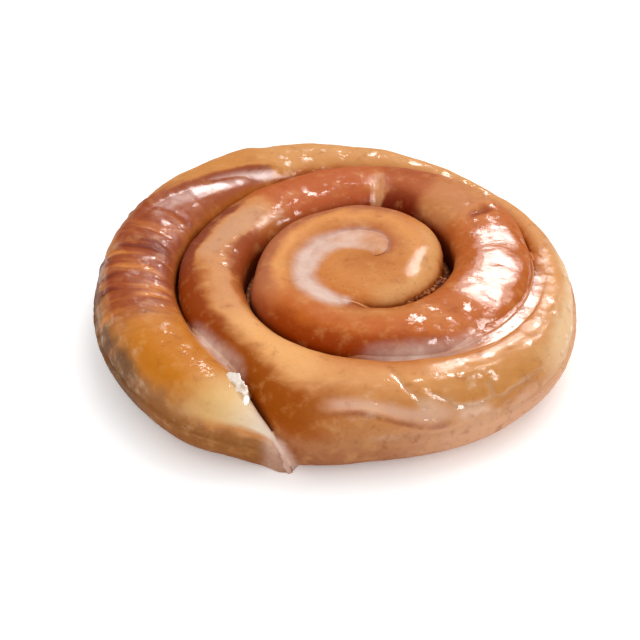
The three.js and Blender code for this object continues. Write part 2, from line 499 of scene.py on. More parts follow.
# Raised edges of glaze down the front shoulder: turn at the crest, turns per step across, from and to across
seams = [
    (1.516, 0.031, 1.95, 2.62),
    (1.521, 0.052, 2.35, 2.68),
    (1.579, 0.006, 2.38, 2.66),
]
lowSeam = {"from": 1.552, "to": 1.63, "fade": 0.01, "across": 2.71}  # the edge that joins their ends
seamHalf = 0.006

# Long low crests: their stretch along the strip, their level across it and half their width
crests = {
    "ridge": {"from": 1.55, "to": 1.72, "fade": 0.04, "across": 1.92, "half": 0.22},  # on the right
    "lip": {"from": 2.26, "to": 2.42, "fade": 0.04, "across": 2.5, "half": 0.12},  # on the tail's outer edge
}


# 1 within a stretch, fading to 0 at its ends
def within(net, turn, across, stretch):
    alongSpan, acrossSpan, soft = stretch
    return net.span(turn, *alongSpan, soft[0]) * net.span(across, *acrossSpan, soft[1])


def zoneAt(net, turn, across, *names):
    return sum(within(net, turn, across, zones[name]) for name in names)


def spanOf(net, turn, one):
    return net.span(turn, one["from"], one["to"], one["fade"])


def crestAt(net, turn, across, name):
    one = crests[name]
    return spanOf(net, turn, one) * net.hump(across, one["across"], one["half"])


# Uneven stripes along slanting lines for the folds on the left, 1 on their ridges
def foldWave(net, turn, across, place):
    warp = net.noise(place, 60.0, 2.0) - 0.5
    slant = turn + (across - 2) * 0.014 + warp * 0.012
    broad = net.noise(net.xyz(slant * 88, across * 0.9, 0.0), 1.0, 1.0)
    fine = net.noise(net.xyz(slant * 220, across * 1.6, 3.0), 1.0, 2.0)
    return net.share(broad * 0.7 + fine * 0.3, 0.25, 0.75)


# How far across the strip a place lies outside the roll's crease
def pastRoll(turn, across):
    return across - rollCrease["across"] - (turn - rollCrease["from"]) * rollCrease["slant"]


# How far across the strip a place lies below the front fold
def belowFold(net, turn, across):
    step = net.rise(turn, frontFold["stepFrom"], frontFold["stepTo"]) * frontFold["step"]
    return across - frontFold["across"] - step


# 1 on the raised edges of glaze, which wander and vary in width
def seamAt(net, turn, across, place):
    uneven = net.share(net.noise(place, 330.0, 2.0), 0.3, 0.7)
    bent = across + (net.noise(place, 150.0, 1.0) - 0.5) * 0.2
    lowHalf = seamHalf * 16 * (0.2 + uneven)
    edge = spanOf(net, turn, lowSeam) * net.hump(bent, lowSeam["across"], lowHalf)
    for start, step, low, high in seams:
        width = seamHalf * (0.3 + 1.2 * uneven)
        edge = edge + net.hump(turn - step * (bent - 2), start, width) * net.span(across, low, high, 0.06)
    return edge


# How far the dough stands out from its plain outline: each part's share of its named height
def relief(net, size, turn, across, place):
    def uneven(scale, detail):
        return net.noise(place, scale, detail) - 0.5

    past = pastRoll(turn, across)
    roll = net.hump(past, -0.2, 0.34) * 0.45 - net.hump(past, 0.07, 0.16) * 0.9
    roll = roll + net.hump(past, -0.5, 0.55) * net.span(turn, 2.09, 2.12, 0.02) * 0.5
    wobble = uneven(70.0, 1.0) * 0.3
    patchy = net.share(net.noise(net.xyz(turn * 38, across, 5.0), 1.0, 2.0), 0.0, 0.65)
    crossing = net.noise(net.xyz(turn * 110, across * 0.8, 0.0), 1.0, 2.0) - 0.5
    below = belowFold(net, turn, across + wobble * 0.3)
    crease = net.hump(below, 0.03, 0.13) - 0.6 * net.hump(below, -0.2, 0.25)
    shares = {
        "lumps": (uneven(55.0, 2.0) + 0.25 * uneven(150.0, 2.0)) * net.span(across, 0.8, 3.35, 0.6),
        "wrinkles": (foldWave(net, turn, across, place) - 0.5) * zoneAt(net, turn, across, "leftFolds"),
        "glazeFolds": uneven(210.0, 2.0) * zoneAt(net, turn, across, "glazeInside", "glazeOutside"),
        "rollHeight": roll * spanOf(net, turn, rollCrease),
        "ridgeHeight": crestAt(net, turn, across + wobble, "ridge") * patchy,
        "seamHeight": seamAt(net, turn, across, place),
        "lipHeight": crestAt(net, turn, across + wobble, "lip"),
        "peakHeight": net.hump(turn, 0.852, 0.012) * net.hump(across, 2.13, 0.3),
        "ringHeight": zoneAt(net, turn, across, "ring"),
        "notches": crossing * zoneAt(net, turn, across, "notches"),
        "shoulderCrease": -crease * spanOf(net, turn, frontFold),
        "pits": uneven(420.0, 2.0) * net.span(across, 2.75, 3.8, 0.4),
    }
    return sum(share * size[name] for name, share in shares.items())


# Icing in the groove: its stretch of the groove, how softly that ends, how thick it is, and how far it
# reaches up the near and the far bank, in millimetres at even steps along it
filmEdge = 2.1 * mm
films = [
    {"along": (-0.2, 0.45), "fade": 0.03, "thick": [0.44, 0.48, 0.56, 0.72, 0.92, 1.0, 1.0],
     "near": [2, 3, 5, 7.5, 10, 10, 9.5, 9, 6.8, 5, 3.6, 1.9, 0.8, 0.5],
     "far": [0.2, 0.2, 0.2, 0.3, 0.6, 0.9, 1.0, 1.8, 2.5, 2.5, 2.9, 3.7, 3.8, 1.5]},
    {"along": (1.485, 1.615), "fade": 0.05, "thick": [0.72, 0.72],
     "near": [0.5, 2.4, 2.8, 2.4], "far": [0.5, 1.4, 1.8, 1.2]},
    {"along": (2.325, 2.405), "fade": 0.04, "thick": [0.85, 0.85],
     "near": [0.5, 1.8, 2.2, 1.0], "far": [0.4, 0.8, 1.0, 0.5]},
    {"along": (2.41, 2.46), "fade": 0.02, "thick": [0.5, 0.5], "near": [0.2, 0.2], "far": [3.0, 5.0]},
]


# Full over most of its reach on either bank, thinning out at the edge
def filmAt(net, turn, away, isFar):
    film = 0.0
    for one in films:
        near = net.through(turn, *one["along"], [v * mm for v in one["near"]])
        far = net.through(turn, *one["along"], [v * mm for v in one["far"]])
        reach = net.mix(isFar, near, far)
        edge = net.share(away, reach + filmEdge, (reach - filmEdge).most(0.0))
        thick = net.through(turn, *one["along"], one["thick"])
        film = net.span(turn, *one["along"], one["fade"]) * edge * thick + film
    return film


def coilTree(material):
    net, size, grid, along, around = sheetTree("coilStrip", coil)

    # rows lie about evenly on the strip, so turns follow a square root; cuts share out the columns
    ease = 0.03
    turn = turnFrom + (turnTo - turnFrom) * ((along * (1 + 2 * ease) + ease * ease).sqrt() - ease)
    cuts = [0.0, 0.105, 0.345, 0.665, 0.895, 1.0]
    across = sum(net.share(around, low, high) for low, high in zip(cuts, cuts[1:]))
    radius, height = outlineAt(net, size, sectionAt(net, size, turn), across)
    film = filmAt(net, turn, abs(radius - grooveRadius(net, turn)), 1.0)
    nearFilm = filmAt(net, turn + 1, abs(radius - grooveRadius(net, turn + 1)), 0.0)
    onDome = net.rise(across, 3.15, 2.95) * net.rise(turn, 1.41, 1.395)
    marks = {"along": turn, "across": across, "film": film + nearFilm * onDome}
    shape = closed(net, grid, marks, placed(net, turn, radius, height))
    net.finish(roughened(net, size, shape), material)
    return net.tree


# Moves a skin's points in or out by the dough's relief at their places, and none below the base
def roughened(net, size, shape):
    place = net.wire("GeometryNodeInputPosition")
    rough = relief(net, size, net.attribute("along"), net.attribute("across"), place)
    moved = net.pushed(shape, rough)
    x, y, z = net.split(place)
    values = {"Geometry": moved, "Position": net.xyz(x, y, z.most(0.0))}
    return net.wire("GeometryNodeSetPosition", {}, values)


# The crust's finish, its tones by level across the strip inside the coil and on its rim, and single tones.
# The tones darken down the walls into the slots between turns as painted shade; on the rim's outer side they
# grow darker towards the bottom.
crust = {
    "darken": 0.85,
    "depth": 1.14,
    "roughness": 0.5,
    "sheen": 0.03,
    "glazed": 0.15,
    "ripples": 0.18 * mm,
    # darkest at the feet of the walls, deep in the slots between turns: painted shade
    "inside": [(0.0, (0.40, 0.15, 0.07)), (1.0, (0.58, 0.26, 0.10)), (1.4, (0.74, 0.42, 0.18)),
               (2.0, (0.91, 0.63, 0.36)), (2.6, (0.82, 0.49, 0.21)), (3.0, (0.66, 0.33, 0.12)),
               (4.0, (0.45, 0.18, 0.08))],
    "rim": [(1.0, (0.62, 0.30, 0.11)), (1.4, (0.80, 0.47, 0.20)), (2.0, (0.90, 0.65, 0.41)),
            (2.6, (0.84, 0.58, 0.35)), (3.0, (0.80, 0.58, 0.41)), (3.5, (0.76, 0.53, 0.37)),
            (4.0, (0.66, 0.43, 0.29))],
    "rollSlope": (0.78, 0.46, 0.19),
    "rollTop": (0.67, 0.35, 0.20),
    "cream": (0.96, 0.81, 0.58),
    "creamEnd": (0.99, 0.93, 0.85),
    "frontGlaze": (0.91, 0.74, 0.65),
    # painted shade along the crease of the front fold
    "frontCreaseShade": (0.58, 0.29, 0.26),
    # partly pale glaze and partly painted highlight on the raised edges
    "seam": (0.97, 0.88, 0.80),
    # lighter fold ridges and darker fold valleys: painted light and shade
    "foldRidgeLight": (0.88, 0.56, 0.27),
    "foldValleyShade": (0.49, 0.21, 0.16),
    # pale smear: thin glaze, and on the left also painted glints
    "smearAndGlint": (0.90, 0.76, 0.64),
    "mottleDark": (0.62, 0.32, 0.13),
    "mottlePale": (0.95, 0.74, 0.50),
    "sideGrain": (0.55, 0.33, 0.19),
    "speck": (0.48, 0.22, 0.09),
}

# Patches over those tones: tone, stretch along and across the strip, how softly it ends, how much it covers
patches = [
    ((0.85, 0.58, 0.30), (2.07, 2.24), (1.3, 3.2), (0.03, 0.3), 0.9),  # tan outer flank at the back left
    ((0.67, 0.34, 0.20), (2.165, 2.31), (1.3, 2.5), (0.04, 0.35), 0.95),  # dark browned top on the left
    ((0.84, 0.53, 0.13), (2.315, 2.43), (1.2, 2.6), (0.04, 0.5), 0.9),  # golden stretch before the tail
    # the left side, which the light reaches least, is painted a darker grey brown as shade
    ((0.47, 0.34, 0.23), (2.15, 2.365), (2.62, 4.2), (0.08, 0.35), 0.88),  # grey brown side on the left
    ((0.63, 0.41, 0.20), (2.35, 2.46), (2.8, 4.2), (0.05, 0.2), 0.8),  # brown side of the tail
    ((0.86, 0.65, 0.50), (1.14, 1.25), (1.75, 2.22), (0.05, 0.35), 0.95),  # pale glaze on the left
    ((0.60, 0.30, 0.22), (1.14, 1.285), (2.28, 3.2), (0.05, 0.15), 0.9),  # its dark rim
    ((0.66, 0.32, 0.14), (1.18, 1.27), (1.0, 1.7), (0.03, 0.15), 0.85),  # dark wrinkled slope inside it
    ((0.88, 0.63, 0.43), (1.245, 1.37), (1.6, 2.06), (0.03, 0.2), 0.85),  # pale crest at the front left
    # the deep orange slopes beside the grooves below are partly caramel and partly painted shade
    ((0.64, 0.28, 0.02), (1.26, 1.38), (2.1, 3.0), (0.05, 0.3), 0.95),  # deep orange slope outside it
    ((0.67, 0.34, 0.0), (1.36, 1.47), (2.1, 3.1), (0.06, 0.5), 0.92),  # deep orange by the front groove
    # the pale crest at the front is partly whitish glaze and partly painted sheen
    ((0.98, 0.74, 0.48), (1.34, 1.455), (1.4, 2.1), (0.06, 0.5), 0.85),  # pale crest at the front
    ((0.98, 0.85, 0.77), (1.532, 1.551), (2.45, 2.75), (0.014, 0.2), 0.8),  # pale glaze below raised edges
    ((0.98, 0.85, 0.77), (1.553, 1.58), (2.68, 2.9), (0.014, 0.14), 0.85),
    ((0.92, 0.73, 0.60), (1.53, 1.8), (2.9, 4.0), (0.08, 0.3), 0.8),  # pinkish side
    ((0.84, 0.60, 0.35), (1.54, 1.7), (2.1, 2.8), (0.05, 0.3), 0.8),  # golden shoulder at the front right
    ((0.97, 0.84, 0.68), (1.64, 1.78), (2.25, 3.0), (0.05, 0.4), 0.8),  # pale far right
    ((0.79, 0.41, 0.10), (0.32, 0.58), (1.8, 2.5), (0.08, 0.5), 0.85),  # second turn, front
    # its outer slope down to the groove is partly caramel and partly painted shade
    ((0.67, 0.28, 0.03), (0.33, 0.6), (2.35, 3.2), (0.08, 0.4), 0.9),  # its outer slope
    ((0.80, 0.45, 0.22), (0.58, 0.86), (1.0, 3.0), (0.08, 0.5), 0.85),  # second turn, right
    # the dark inner wall and the dark hollow in it are painted shade in the recess at the back
    ((0.54, 0.16, 0.02), (0.88, 1.04), (0.3, 1.5), (0.06, 0.4), 0.9),  # dark inner wall at the back
    ((0.72, 0.36, 0.16), (0.92, 1.0), (1.5, 2.7), (0.03, 0.5), 0.9),  # second turn, back right
    ((0.52, 0.18, 0.06), (0.925, 0.99), (1.0, 1.75), (0.03, 0.5), 0.85),  # dark hollow in it
    ((0.82, 0.55, 0.35), (0.862, 0.925), (1.2, 2.5), (0.03, 0.4), 0.9),  # broad pale stretch
    ((0.78, 0.40, 0.21), (1.0, 1.13), (1.2, 2.6), (0.03, 0.5), 0.85),  # reddish back
    ((0.90, 0.66, 0.47), (0.986, 1.001), (1.1, 2.1), (0.006, 0.3), 0.75),  # pale ring
    ((0.60, 0.24, 0.13), (0.845, 0.858), (1.9, 2.3), (0.012, 0.2), 0.8),  # dark peak
    ((0.94, 0.66, 0.40), (0.17, 0.34), (1.9, 2.5), (0.06, 0.3), 0.7),  # middle coil, left
    ((0.81, 0.51, 0.21), (-1.3, -0.25), (0.5, 2.2), (0.2, 0.5), 0.7),  # golden tongue in the middle
    ((0.92, 0.71, 0.48), (-0.5, -0.12), (2.25, 2.75), (0.1, 0.3), 0.7),  # its pale edge on the right
    ((0.73, 0.43, 0.31), (-0.06, 0.34), (2.16, 3.1), (0.1, 0.3), 0.8),  # reddish rim of the middle coil
    ((0.88, 0.65, 0.41), (1.9, 2.085), (1.4, 2.6), (0.03, 0.3), 0.7),  # glazed back band
]

# Where glaze lies thick enough to shine: stretch along and across, how much, and how broken up
shiny = [
    ((0.655, 0.81), (1.65, 2.5), 1.0, 0.25),  # broad shine on the right
    ((0.55, 0.87), (1.4, 2.8), 0.9, 1.0),  # islands around it
    ((0.605, 0.75), (2.5, 3.3), 1.0, 0.05),  # the pool on the right, on both of its banks
    ((1.605, 1.75), (0.7, 1.65), 1.0, 0.05),
    ((1.55, 1.72), (1.78, 2.04), 1.0, 0.6),  # the ridge beside the pool
    ((1.725, 1.785), (1.45, 1.95), 1.0, 0.2),
    ((1.5, 1.8), (2.0, 2.95), 0.9, 1.0),  # shoulder at the front right
    ((2.17, 2.31), (1.3, 2.2), 0.7, 0.9),  # folds on the left
    ((1.01, 1.15), (1.3, 2.0), 0.8, 1.0),  # second turn, back
    ((0.984, 1.002), (1.3, 2.0), 0.8, 0.3),  # the ring
    ((1.15, 1.175), (1.35, 1.72), 1.0, 0.0),  # slope inside the pale glaze on the left
    ((1.19, 1.235), (1.2, 1.7), 0.8, 1.0),
    ((1.235, 1.262), (1.5, 1.8), 0.9, 1.0),
    ((-0.37, -0.2), (2.12, 2.26), 1.0, 0.4),  # middle coil, right
    ((1.88, 2.08), (1.3, 2.3), 0.55, 1.0),  # band at the back
    ((2.32, 2.395), (1.2, 1.9), 0.7, 1.0),  # golden stretch before the tail
    ((2.2, 2.42), (2.4, 3.0), 0.6, 0.9),  # outer edge of the tail
]
shinySoft = (0.03, 0.3)


# Colour of the crust and how much glaze shines on it, at a place on the strip
def crustLook(net, turn, across, place):
    shiftA, shiftB, shiftC = net.split(net.noise(place, 110.0, 3.0, 0.55, 1))
    roughTurn = turn + (shiftA - 0.5) * 0.02
    roughAcross = across + (shiftB - 0.5) * 0.55

    def darkened(tone):
        return colour(*tone, crust["darken"])

    def over(tone, mask, name):
        return net.blend(mask, tone, darkened(crust[name]))

    def ramp(stops):
        filled = [(level / 5, darkened(tone)) for level, tone in stops]
        return net.wire("ShaderNodeValToRGB", {"stops": filled}, {0: roughAcross / 5})

    tone = net.blend(net.rise(turn, rimFrom, rimTo), ramp(crust["inside"]), ramp(crust["rim"]))
    for shade, alongSpan, acrossSpan, soft, cover in patches:
        mask = within(net, roughTurn, roughAcross, (alongSpan, acrossSpan, soft))
        tone = net.blend(mask * cover, tone, darkened(shade))

    # the dark roll inside the crease at the back left
    past = pastRoll(turn, across)
    dark = net.rise(turn, 2.085, 2.092) * net.rise(turn, 2.2, 2.16)
    dark = dark * net.rise(past + (shiftC - 0.5) * 0.12, 0.06, 0.0)
    rolled = net.blend(net.rise(across, 1.2, 1.5), darkened(crust["rollSlope"]), darkened(crust["rollTop"]))
    tone = net.blend(dark * 0.95, tone, rolled)

    # cream on the tail's end
    cream = net.rise(roughTurn, 2.37, 2.41) * net.rise(across + (roughTurn - 2.42) * 5, 2.72, 2.5)
    cream = cream * net.rise(across, 1.2, 1.8)
    pale = net.blend(net.rise(turn, 2.4, 2.435), darkened(crust["cream"]), darkened(crust["creamEnd"]))
    tone = net.blend(cream * 0.95, tone, pale)

    # pinkish glaze above the front fold, painted shade as a dark line in the fold's crease, and pale edges of
    # the glaze that are partly painted highlight
    below = belowFold(net, turn, across + (shiftB - 0.5) * 0.12)
    folded = spanOf(net, roughTurn, frontFold)
    tone = over(tone, folded * net.span(below, -0.24, -0.04, 0.18) * 0.75, "frontGlaze")
    creaseShade = folded * net.hump(below, 0.02, 0.09) * net.rise(shiftC, 0.25, 0.65)
    tone = over(tone, creaseShade * 0.6, "frontCreaseShade")
    # the pale tint on the raised edges is partly their pale glaze and partly painted highlight along their
    # glints
    seam = seamAt(net, turn, across, place)
    tone = over(tone, seam.least(1.0) * 0.15, "seam")

    # streaks along the folds on the left, lighter on their ridges and darker in their valleys as painted
    # light and shade, then smeared thin glaze, on the left partly painted glints
    wave = foldWave(net, turn, across, place)
    streaks = zoneAt(net, turn, across, "leftFolds") * (0.35 + 0.65 * net.rise(turn, 2.19, 2.25))
    tone = over(tone, net.rise(wave, 0.5, 0.8) * streaks * 0.9, "foldRidgeLight")
    tone = over(tone, net.rise(wave, 0.48, 0.2) * streaks * 0.75, "foldValleyShade")
    smearAndGlint = net.rise(net.noise(net.xyz(turn * 45, across * 2.2, shiftA * 0.8), 1.0, 4.0, 0.65), 0.52, 0.72)
    tone = over(tone, smearAndGlint * zoneAt(net, turn, across, "leftSmearAndGlint", "frontSmear") * 0.55, "smearAndGlint")

    # fine mottling, grain on the side, and specks, most of them in the middle
    mottle = net.noise(place, 260.0, 4.0, 0.6)
    tone = over(tone, net.rise(mottle, 0.55, 0.75) * 0.35 * (1 - cream * 0.8), "mottleDark")
    tone = over(tone, net.rise(mottle, 0.5, 0.28) * 0.25, "mottlePale")
    side = net.rise(across, 2.75, 3.1) * net.rise(turn, rimFrom, rimTo)
    grain = net.rise(net.noise(place, 520.0, 3.0, 0.6), 0.52, 0.7)
    tone = over(tone, grain * side * 0.18, "sideGrain")
    speck = net.rise(net.noise(place, 1300.0, 2.0, 0.7), 0.62, 0.75)
    speck = speck * (0.2 + 0.35 * net.rise(turn, 0.2, -0.1)) * (1 - cream * 0.6)
    tone = over(tone, speck, "speck")
    deep = net.wire("ShaderNodeGamma", {}, {"Color": tone, "Gamma": crust["depth"]})

    gloss = spanOf(net, turn, rollCrease) * net.hump(past, -0.2, 0.22) + seam
    islands = net.rise(net.noise(place, 340.0, 3.0, 0.6), 0.54, 0.66)
    for alongSpan, acrossSpan, cover, broken in shiny:
        mask = within(net, roughTurn, roughAcross, (alongSpan, acrossSpan, shinySoft))
        gloss = gloss + mask * cover * (1 - broken + islands * broken)
    return deep, gloss.least(1.0)


# Icing and thin glaze take this look wherever a film of them lies on the crust
icing = {
    "tone": (0.92, 0.79, 0.73),
    "shade": (0.89, 0.74, 0.67),
    "thin": 0.08,  # thickness of the film where it begins to show, and where it covers
    "solid": 1.1,
}


# Baked crust under glaze; where the glaze is thick a second, shiny shader takes over
def crustMaterial(name):
    material, net, matte = newMaterial(name)
    turn = paint(net, "along")
    across = paint(net, "across")
    place = net.wire("ShaderNodeTexCoord", {}, {}, "Object")
    tone, gloss = crustLook(net, turn, across, place)
    drift = net.noise(place, 190.0, 3.0, 0.6) - 0.5
    white = net.rise(paint(net, "film") * (1 + drift * 1.4), icing["thin"], icing["solid"])
    cloud = net.rise(net.noise(place, 260.0, 3.0), 0.35, 0.7)
    whites = [colour(*icing[shade], crust["darken"]) for shade in ("tone", "shade")]
    tone = net.blend(white * 0.95, tone, net.blend(cloud, *whites))
    net.feed(matte, {
        "Base Color": tone,
        "Roughness": crust["roughness"] + (net.noise(place, 130.0, 2.0) - 0.5) * 0.2,
        "Specular IOR Level": crust["sheen"],
        "Normal": net.bump(net.noise(place, 900.0, 2.0), 0.25, 0.3 * mm),
        "Subsurface Weight": 0.08,
        "Subsurface Radius": (0.6, 0.3, 0.12),
        "Subsurface Scale": 3 * mm,
    })
    thick = zoneAt(net, turn, across, "glazeInside", "glazeOutside")
    poured = zoneAt(net, turn, across, "pouredNear", "pouredFar")
    wave = net.noise(net.xyz(turn * 130, across * 4.0, drift * 1.5), 1.0, 3.0, 0.55)
    wave = wave * (0.25 + 0.5 * thick + 0.3 * poured) + net.noise(place, 520.0, 2.0) * 0.3
    shine = net.node("ShaderNodeBsdfPrincipled", {}, {
        "Base Color": tone,
        "Roughness": crust["glazed"] + (net.noise(place, 170.0, 2.0) - 0.5) * 0.1,
        "Normal": net.bump(wave, 1.0, crust["ripples"]),
    })
    parts = {0: gloss, 1: Wire(net, matte.outputs[0]), 2: Wire(net, shine.outputs[0])}
    mixed = net.wire("ShaderNodeMixShader", {}, parts)
    net.feed(material.node_tree.nodes["Material Output"], {"Surface": mixed})
    return material


glazedDough = crustMaterial("glazedDough")
dough = grow("doughCoil", coilTree(glazedDough), coil)
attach(dough, "root")
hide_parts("dough")


# The filling: a ribbon standing in the slot, with crumbs on it where the slot gapes
filling = {
    "rows": 900,
    "columns": 22,
    "fillFrom": 0.02,
    "fillTo": 2.36,
    "clearance": 0.08 * mm,
    "floorGap": 1.0 * mm,
    "usualDrop": 6.5 * mm,  # below the lower of the crests beside it
    "frontRaise": 3.6 * mm,
    "rightSink": 3.0 * mm,
    "leftSink": 2.0 * mm,
    "crumbliness": 1.6 * mm,
    "crumbSize": 0.42 * mm,
    "knobbiness": 0.5 * mm,
    "crumbs": 26.0,  # on a patch of ten square millimetres
    "seed": 4,
}


def fillingTree(material):
    net, size, grid, along, around = sheetTree("cinnamonRibbon", {**coil, **filling})
    turn = between(size, "fill", along)
    inner = sectionAt(net, size, turn - 1)
    outer = sectionAt(net, size, turn)
    angle = around * math.tau
    ends = (net.share(along, 0.0, 0.006) * net.share(along, 1.0, 0.994)).sqrt()
    leastHalf = 0.05 * mm
    half = (slotHalf(net, size, turn) - size["clearance"]).most(leastHalf)
    radius = grooveRadius(net, turn) + half * angle.cos() * ends
    raised = net.span(turn, 0.56, 0.72, 0.06) * size["frontRaise"]
    sunk = net.span(turn, 0.74, 1.0, 0.05) * size["rightSink"] + net.hump(turn, 1.24, 0.08) * size["leftSink"]
    top = inner["crest"].least(outer["crest"]) - size["usualDrop"] + raised - sunk
    crumbly = (net.noise(placed(net, turn, radius, 0.0), 450.0, 3.0) - 0.5) * size["crumbliness"]
    middle = (top + size["floorGap"]) * 0.5
    up = net.wire("ShaderNodeMath", {"operation": "SIGN"}, {0: angle.sin()}) * abs(angle.sin()) ** 0.3
    height = middle + (top - middle) * up * ends + crumbly * net.rise(angle.sin(), 0.0, 0.6) * ends
    marks = {"turn": turn, "up": angle.sin()}
    shape = closed(net, grid, marks, placed(net, turn, radius, height))

    # crumbs where the slot gapes on the right
    patchesInSquareMetre = 1e5
    where = net.span(net.attribute("turn"), 0.55, 0.75, 0.02) * net.rise(net.attribute("up"), 0.3, 0.8)
    spread = {"Mesh": shape, "Density": size["crumbs"] * where * patchesInSquareMetre, "Seed": size["seed"]}
    points = net.wire("GeometryNodeDistributePointsOnFaces", {}, spread)
    crumb = net.wire("GeometryNodeMeshIcoSphere", {}, {"Radius": size["crumbSize"], "Subdivisions": 2})
    vary = {2: 0.4, 3: 1.3, "Seed": size["seed"]}
    scale = net.wire("FunctionNodeRandomValue", {"data_type": "FLOAT"}, vary, 1)
    turned = {0: (0.0, 0.0, 0.0), 1: (6.0, 6.0, 6.0), "Seed": size["seed"]}
    spin = net.wire("FunctionNodeRandomValue", {"data_type": "FLOAT_VECTOR"}, turned)
    each = {"Points": points, "Instance": crumb, "Rotation": spin, "Scale": scale}
    crumbs = net.wire("GeometryNodeInstanceOnPoints", {}, each)
    crumbs = net.wire("GeometryNodeRealizeInstances", {}, {"Geometry": crumbs})
    place = net.wire("GeometryNodeInputPosition")
    crumbs = net.pushed(crumbs, (net.noise(place, 2500.0, 1.0) - 0.5) * size["knobbiness"])
    join = net.node("GeometryNodeJoinGeometry")
    net.tree.links.new(crumbs.socket, join.inputs[0])
    net.tree.links.new(shape.socket, join.inputs[0])
    net.finish(Wire(net, join.outputs[0]), material)
    return net.tree


spice = {"dark": (0.36, 0.10, 0.04), "light": (0.72, 0.42, 0.18)}


def fillingMaterial():
    material, net, shader = newMaterial("cinnamonPaste")
    place = net.wire("ShaderNodeTexCoord", {}, {}, "Object")
    grain = net.noise(place, 900.0, 4.0, 0.65)
    tone = net.blend(net.rise(grain, 0.35, 0.65), colour(*spice["dark"]), colour(*spice["light"]))
    net.feed(shader, {
        "Base Color": tone,
        "Roughness": 0.55 + grain * 0.3,
        "Specular IOR Level": 0.1,
        "Normal": net.bump(net.noise(place, 1500.0, 3.0), 0.6, 0.4 * mm),
    })
    return material


cinnamon = grow("cinnamonFilling", fillingTree(fillingMaterial()), {**coil, **filling})
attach(cinnamon, "root")
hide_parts("cinnamon_filling")


# Icing and glaze lying in the groove: each a long body whose top runs out tangent to both banks
swirl = {
    "rows": 300,
    "columns": 48,
    "poolFrom": -0.14,  # turns along the groove
    "poolTo": 0.5,
    "nearBank": 4.6 * mm,  # how far it spreads over each bank
    "farBank": 4.6 * mm,
    "bridgeFrom": 2.2 * mm,  # half the width of its level middle, at its start and its end
    "bridgeTo": 2.2 * mm,
    "meniscus": 0.35,  # softness of its edges, as a share of the groove's depth
    "lean": 0.35 * mm,  # how much higher it may stand on the near bank
    "tuckedIn": 0.09,  # how far it is drawn down, as a share of the depth
    "sink": 2.0 * mm,
    "taper": 0.08,  # share of its length over which each end runs out
}
rightPool = {
    **swirl,
    "poolFrom": 1.46,
    "poolTo": 1.8,
    "bridgeFrom": 0.9 * mm,
    "bridgeTo": 3.4 * mm,
    "meniscus": 0.12,
    "lean": 1.0 * mm,
}
tailPool = {
    **swirl,
    "poolFrom": 2.315,
    "poolTo": 2.41,
    "bridgeFrom": 1.1 * mm,
    "bridgeTo": 1.1 * mm,
    "taper": 0.35,
}


def poolTree(material):
    net, size, grid, along, around = sheetTree("glazePool", {**coil, **swirl})
    turn = between(size, "pool", along)
    inner = sectionAt(net, size, turn - 1)
    outer = sectionAt(net, size, turn)
    ends = net.rise(along, 0.0, size["taper"]) * net.rise(along, 1.0, 1 - size["taper"])
    groove = grooveRadius(net, turn)
    leastHalf = 0.1 * mm
    nearHalf = (inner["outer"] - inner["middle"]).most(leastHalf)
    farHalf = (outer["middle"] - outer["inner"]).most(leastHalf)
    near = size["nearBank"].least(groove * 0.9).least(nearHalf)
    far = size["farBank"].least(farHalf)
    angle = around * math.tau
    place = (1 - angle.cos()) * 0.5
    radius = net.mix(place, groove - near, groove + far)
    nearShare = ((radius - inner["middle"]) / nearHalf).most(0.0).least(1.0)
    farShare = ((outer["middle"] - radius) / farHalf).most(0.0).least(1.0)
    isFar = net.wire("ShaderNodeMath", {"operation": "GREATER_THAN"}, {0: radius, 1: groove})

    # height of the dough's dome at a share of its half width out from the crest, and how far round that is
    roundness = size["domeRoundness"]

    def bankHeight(s, drop, share):
        return s["crest"] - s[drop] * (1 - (1 - share**roundness) ** (1 / roundness))

    def domeTurn(share):
        return (share ** (roundness / 2)).arcsin() / (math.pi / 2)

    # the pool is level between two points on the banks, or leans a little, and runs out on both banks
    bank = net.mix(isFar, bankHeight(inner, "outerDrop", nearShare), bankHeight(outer, "innerDrop", farShare))
    drop = inner["outerDrop"].least(outer["innerDrop"])
    bridge = net.mix(net.rise(along, 0.3, 0.5), size["bridgeFrom"], size["bridgeTo"]) * ends
    nearAt = ((groove - bridge - inner["middle"]) / nearHalf).most(0.0).least(1.0)
    farAt = ((outer["middle"] - groove - bridge) / farHalf).most(0.0).least(1.0)
    hair = 0.01 * mm
    over = net.share(radius, groove - bridge - hair, groove + bridge + hair)
    farLevel = bankHeight(outer, "innerDrop", farAt)
    level = net.mix(over, bankHeight(inner, "outerDrop", nearAt).least(farLevel + size["lean"]), farLevel)
    level = level - (1 - ends) * mm
    soft = size["meniscus"] * drop
    surface = (bank + level + ((bank - level) ** 2 + soft * soft).sqrt()) * 0.5 - size["tuckedIn"] * drop
    upper = net.rise(angle.sin(), -0.02, 0.02)
    inset = 0.04 * mm
    height = surface - (1 - upper) * size["sink"] * abs(angle.sin()) - inset

    marks = {
        "along": turn - 1 + isFar,
        "across": net.mix(isFar, 2 + domeTurn(nearShare), 2 - domeTurn(farShare)),
        "film": filmAt(net, turn, abs(radius - groove), isFar),
    }
    shape = closed(net, grid, marks, placed(net, turn, radius, height))
    net.finish(roughened(net, size, shape), material)
    return net.tree


for name, named in [("icingSwirl", swirl), ("glazePoolRight", rightPool), ("icingPoolTail", tailPool)]:
    piece = grow(name, poolTree(glazedDough), {**coil, **named})
    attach(piece, "root")


# Icing that ran down over the tail's end and set on the side, with a ragged raised edge
drip = {
    "rows": 90,
    "columns": 100,
    "leftTurn": 1.434,  # its ragged left edge at the top
    "lean": 0.011,  # turns that this edge moves right on its way down
    "rightTurn": 1.462,
    "whiteTurns": 0.009,  # breadth of the white edge
    "acrossFrom": 3.15,
    "acrossTo": 3.97,
    "thickness": 0.4 * mm,
    "sink": 3.0 * mm,
    "ragged": 0.006,
}


